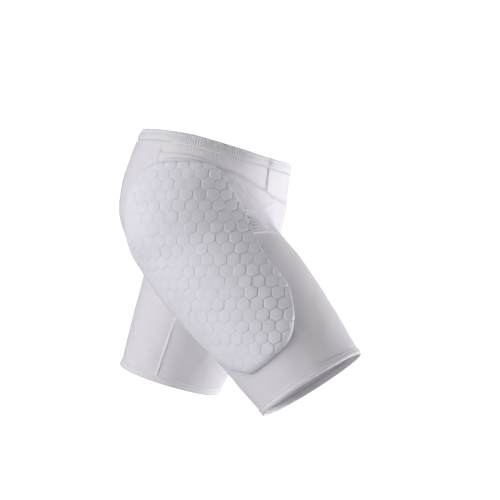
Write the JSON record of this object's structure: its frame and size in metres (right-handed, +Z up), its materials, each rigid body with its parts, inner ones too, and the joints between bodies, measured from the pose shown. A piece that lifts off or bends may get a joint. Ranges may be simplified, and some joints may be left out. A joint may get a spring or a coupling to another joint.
{
  "type": "padded sliding shorts",
  "caption": "Close-fitting short sports trousers with honeycomb foam pads over both hips, kept in the shape of a long stride.",
  "frame": {"origin": "centre of the waist opening, where the wearer's waist holds the shorts up", "axes": "+Z up, -Y the way the wearer faces, -X the wearer's right side"},
  "size_m": [0.3956, 0.3924, 0.3943],
  "materials": {
    "band_cloth": "matte elastic rib",
    "yoke_cloth": "matte knit",
    "body_cloth": "smooth stretch knit with a faint sheen",
    "hem_cloth": "matte folded knit",
    "seam_cloth": "stitched tape",
    "pad_cloth": "matte knit bonded to foam"
  },
  "bodies": {
    "root": {"waistband": "band_cloth", "pouch_yoke": "yoke_cloth", "front_yoke_right": "yoke_cloth", "front_yoke_left": "yoke_cloth", "right_body_panel": "body_cloth", "left_body_panel": "body_cloth", "right_hem": "hem_cloth", "left_hem": "hem_cloth", "right_inseam": "seam_cloth", "left_inseam": "seam_cloth", "right_pad_binding": "seam_cloth", "left_pad_binding": "seam_cloth", "right_hex_pad": "pad_cloth", "left_hex_pad": "pad_cloth"}
  },
  "joints": []
}
